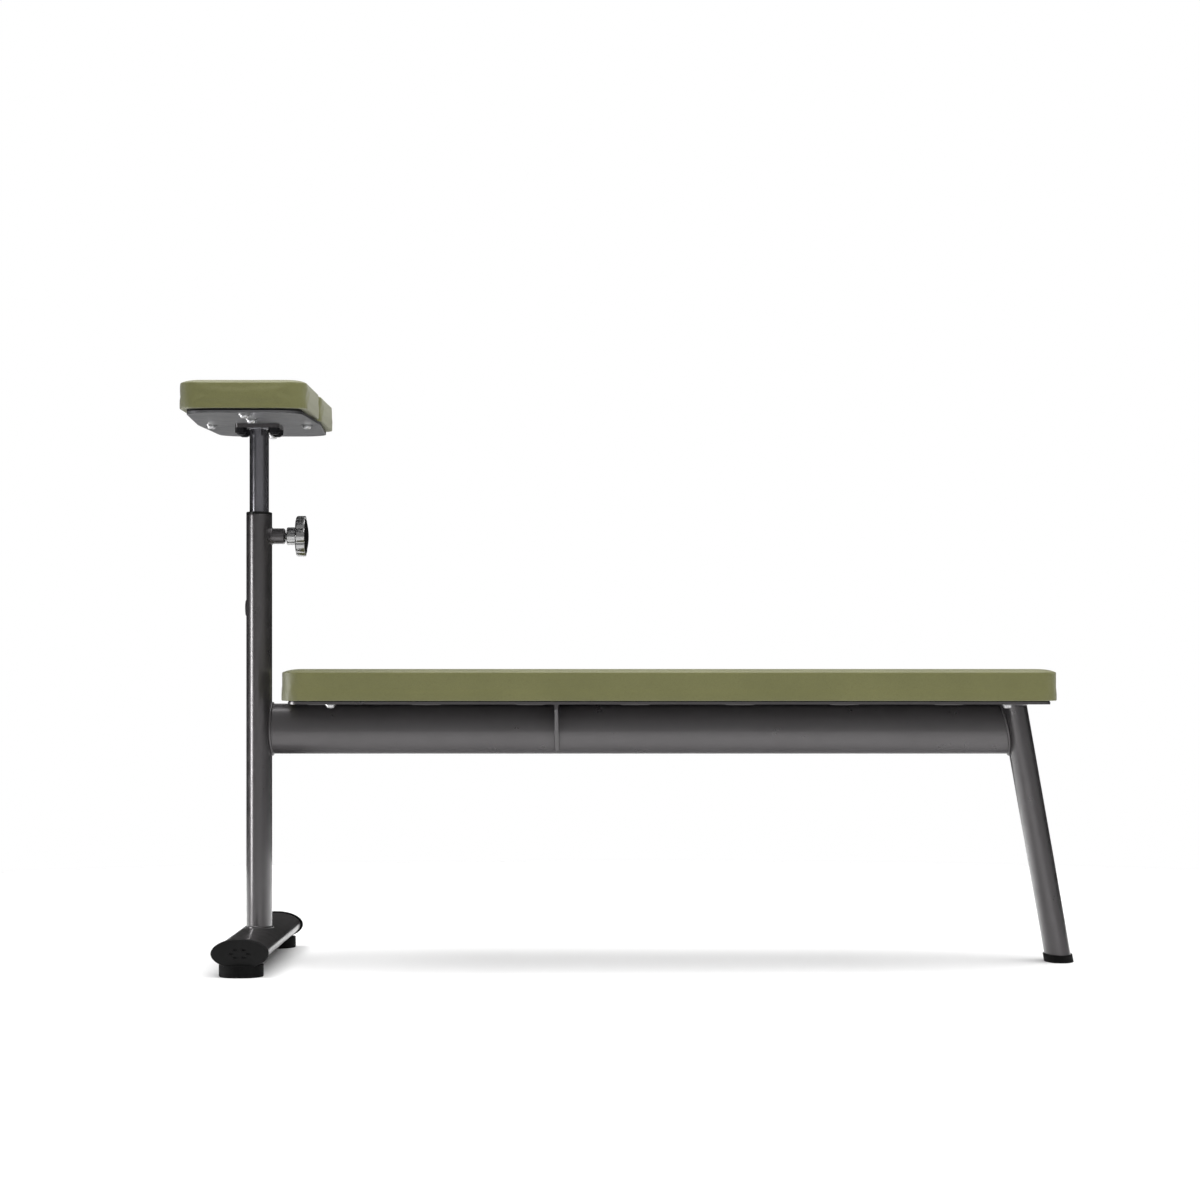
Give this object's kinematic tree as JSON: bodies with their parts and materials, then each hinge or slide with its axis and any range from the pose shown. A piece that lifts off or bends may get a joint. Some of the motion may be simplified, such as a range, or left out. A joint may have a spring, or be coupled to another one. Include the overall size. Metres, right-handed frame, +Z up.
{
  "type": "abdominal bench",
  "caption": "Flat abdominal bench: long padded board on an elliptical-tube frame, with a raised calf rest that slides in the upright post and is clamped by a lobed knob.",
  "frame": {"origin": "on the floor, at the centre of the bench's outline", "axes": "+X from the upright post towards the rear leg, +Y across the bench, +Z up"},
  "size_m": [1.3834, 0.569, 0.898],
  "materials": {
    "frame_paint": "gloss powder coat, dark grey",
    "tube_paint": "gloss powder coat, dark grey",
    "plate_paint": "satin powder coat, mid grey",
    "black_plastic": "moulded, fine grain",
    "badge_plastic": "gloss, blank",
    "backing_panel": "matt black sheet",
    "rubber": "matt black rubber",
    "plywood": "raw plywood",
    "foam": "open-cell foam",
    "upholstery": "olive synthetic leather, fine grain",
    "zinc": "bright zinc plate",
    "black_steel": "black oxide",
    "brass": "turned",
    "knob_metal": "polished casting",
    "knob_disc": "gloss black"
  },
  "bodies": {
    "frame": {"cross_foot_tube": "frame_paint", "cross_foot_cap_left": "black_plastic", "cross_foot_cap_right": "black_plastic", "rubber_foot_left": "rubber", "rubber_foot_right": "rubber", "rubber_foot_screws": "zinc", "rubber_foot_inserts": "zinc", "post_tube": "frame_paint", "post_guide_bush": "black_plastic", "clamp_boss": "frame_paint", "post_badge": "badge_plastic", "main_beam": "frame_paint", "gusset_left": "frame_paint", "gusset_right": "frame_paint", "bench_plate": "frame_paint", "rear_leg": "frame_paint", "leg_foot_cap": "rubber", "bench_backing": "backing_panel", "bench_board": "plywood", "bench_foam": "foam", "bench_cover": "upholstery", "bench_t_nuts": "zinc", "bench_bolts": "zinc", "bench_washers": "zinc"},
    "calf_rest": {"support_tube": "tube_paint", "support_tube_glide": "black_plastic", "mounting_flange": "frame_paint", "flange_bolts": "black_steel", "flange_nuts": "black_steel", "calf_plate_left": "plate_paint", "calf_plate_right": "plate_paint", "seam_strip": "plate_paint", "seam_bolts": "zinc", "seam_washers": "zinc", "calf_backing_left": "backing_panel", "calf_backing_right": "backing_panel", "calf_board_left": "plywood", "calf_board_right": "plywood", "calf_foam_left": "foam", "calf_foam_right": "foam", "calf_cover_left": "upholstery", "calf_cover_right": "upholstery", "calf_t_nuts": "zinc", "calf_bolts": "zinc", "calf_washers": "zinc"},
    "clamp_shoe_body": {"clamp_shoe": "brass"},
    "knob_body": {"clamp_screw": "zinc", "knob": "knob_metal", "knob_cap": "knob_disc"}
  },
  "joints": [
    {"name": "calf_rest_height", "type": "slide", "parent": "frame", "child": "calf_rest", "axis": [0, 0, 1], "range_m": [-0.115, 0.13]},
    {"name": "clamp_advance", "type": "slide", "parent": "frame", "child": "clamp_shoe_body", "axis": [1, 0, 0], "range_m": [0, 0.0035]},
    {"name": "knob_turn", "type": "hinge", "parent": "clamp_shoe_body", "child": "knob_body", "pos_m": [-0.5287, 0, 0.6715], "axis": [1, 0, 0], "range_deg": [0, 720]}
  ],
  "couplings": [
    {"joint": "clamp_advance", "follows": "knob_turn", "m_per_rad": 0.00027852}
  ]
}
